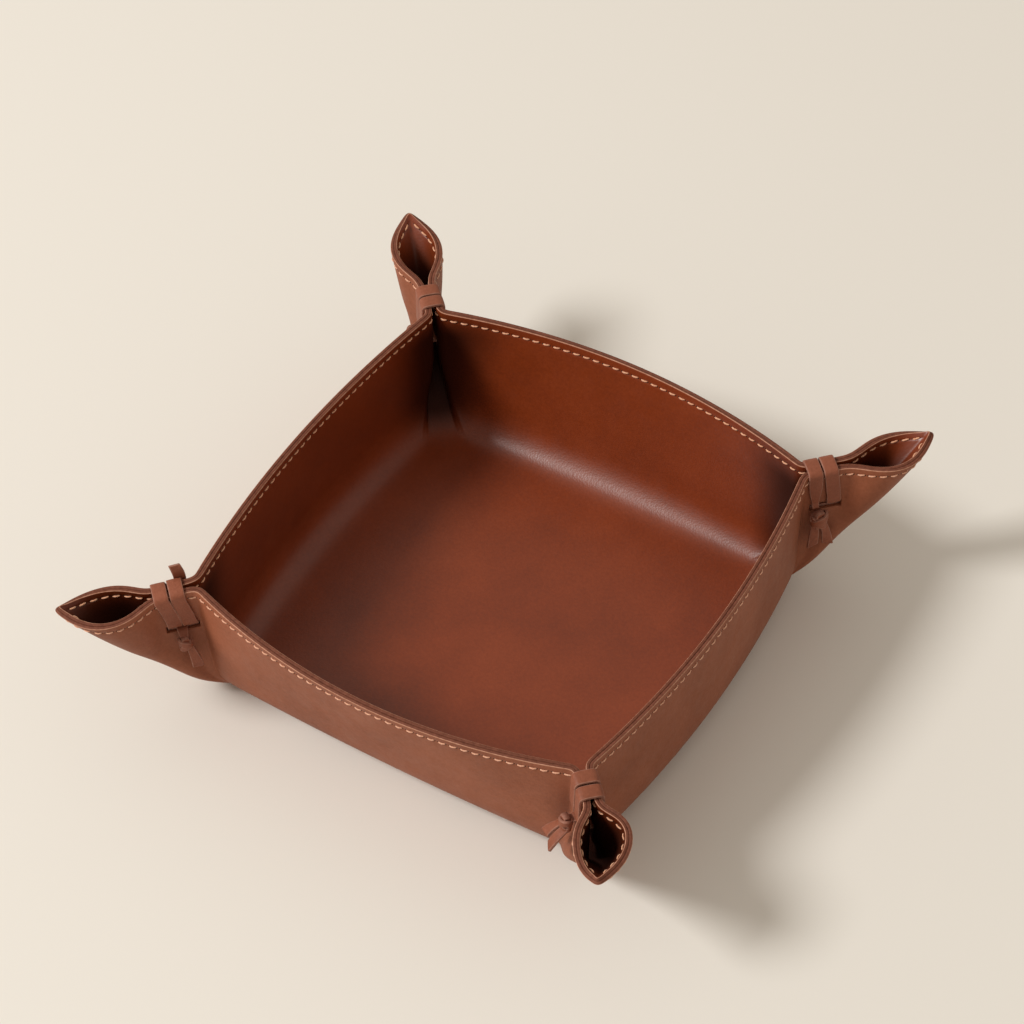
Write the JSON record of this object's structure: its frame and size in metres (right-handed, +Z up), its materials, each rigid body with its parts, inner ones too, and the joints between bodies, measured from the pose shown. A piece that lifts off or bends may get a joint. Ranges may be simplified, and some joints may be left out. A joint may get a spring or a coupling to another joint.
{
  "type": "organizer tray",
  "caption": "Square leather catch-all tray with pinched corners, each tied by a flat leather lace that leaves an open folded ear; stitched rim.",
  "frame": {"origin": "centre of the floor at its underside, between the four corner ties", "axes": "+Z up, +X right and +Y back, square to the walls; the ears stand out along the diagonals"},
  "size_m": [0.2075, 0.2092, 0.058],
  "materials": {
    "leather": "satin",
    "lining": "semi-gloss",
    "lace": "satin",
    "thread_light": "matte",
    "thread_tan": "matte"
  },
  "bodies": {
    "tray": {"outer_panel": "leather", "lining_panel": "lining", "seam_thread_inside": "thread_light", "seam_thread_outside": "thread_tan", "back_right_lace": "lace", "back_left_lace": "lace", "front_left_lace": "lace", "front_right_lace": "lace"},
    "back_left_lace_end_1": {"back_left_lace_end_1": "lace"},
    "back_left_lace_end_2": {"back_left_lace_end_2": "lace"},
    "back_right_lace_end_1": {"back_right_lace_end_1": "lace"},
    "back_right_lace_end_2": {"back_right_lace_end_2": "lace"},
    "front_left_lace_end_1": {"front_left_lace_end_1": "lace"},
    "front_right_lace_end_1": {"front_right_lace_end_1": "lace"},
    "front_right_lace_end_2": {"front_right_lace_end_2": "lace"}
  },
  "joints": [
    {"name": "back_left_lace_end_1_bend", "type": "hinge", "parent": "tray", "child": "back_left_lace_end_1", "pos_m": [-0.07983, 0.07036, 0.02755], "axis": [-0.7237, 0.6777, -0.1298], "range_deg": [0, 35], "stiffness_Nm_per_rad": 0.0002},
    {"name": "back_left_lace_end_2_bend", "type": "hinge", "parent": "tray", "child": "back_left_lace_end_2", "pos_m": [-0.08238, 0.0729, 0.02764], "axis": [-0.6727, 0.7187, 0.1761], "range_deg": [0, 35], "stiffness_Nm_per_rad": 0.0002},
    {"name": "back_right_lace_end_1_bend", "type": "hinge", "parent": "tray", "child": "back_right_lace_end_1", "pos_m": [0.07981, 0.07033, 0.02754], "axis": [-0.7236, -0.6776, 0.1315], "range_deg": [0, 35], "stiffness_Nm_per_rad": 0.0002},
    {"name": "back_right_lace_end_2_bend", "type": "hinge", "parent": "tray", "child": "back_right_lace_end_2", "pos_m": [0.08235, 0.07287, 0.02762], "axis": [-0.6729, -0.7189, -0.1744], "range_deg": [0, 35], "stiffness_Nm_per_rad": 0.0002},
    {"name": "front_left_lace_end_1_bend", "type": "hinge", "parent": "tray", "child": "front_left_lace_end_1", "pos_m": [-0.06894, -0.07842, 0.02667], "axis": [-0.6674, -0.7134, -0.2135], "range_deg": [0, 35], "stiffness_Nm_per_rad": 0.0002},
    {"name": "front_right_lace_end_1_bend", "type": "hinge", "parent": "tray", "child": "front_right_lace_end_1", "pos_m": [0.06868, -0.07816, 0.02654], "axis": [-0.665, 0.711, 0.2288], "range_deg": [0, 35], "stiffness_Nm_per_rad": 0.0002},
    {"name": "front_right_lace_end_2_bend", "type": "hinge", "parent": "tray", "child": "front_right_lace_end_2", "pos_m": [0.07122, -0.08069, 0.02627], "axis": [-0.7277, 0.6817, -0.0764], "range_deg": [0, 35], "stiffness_Nm_per_rad": 0.0002}
  ]
}
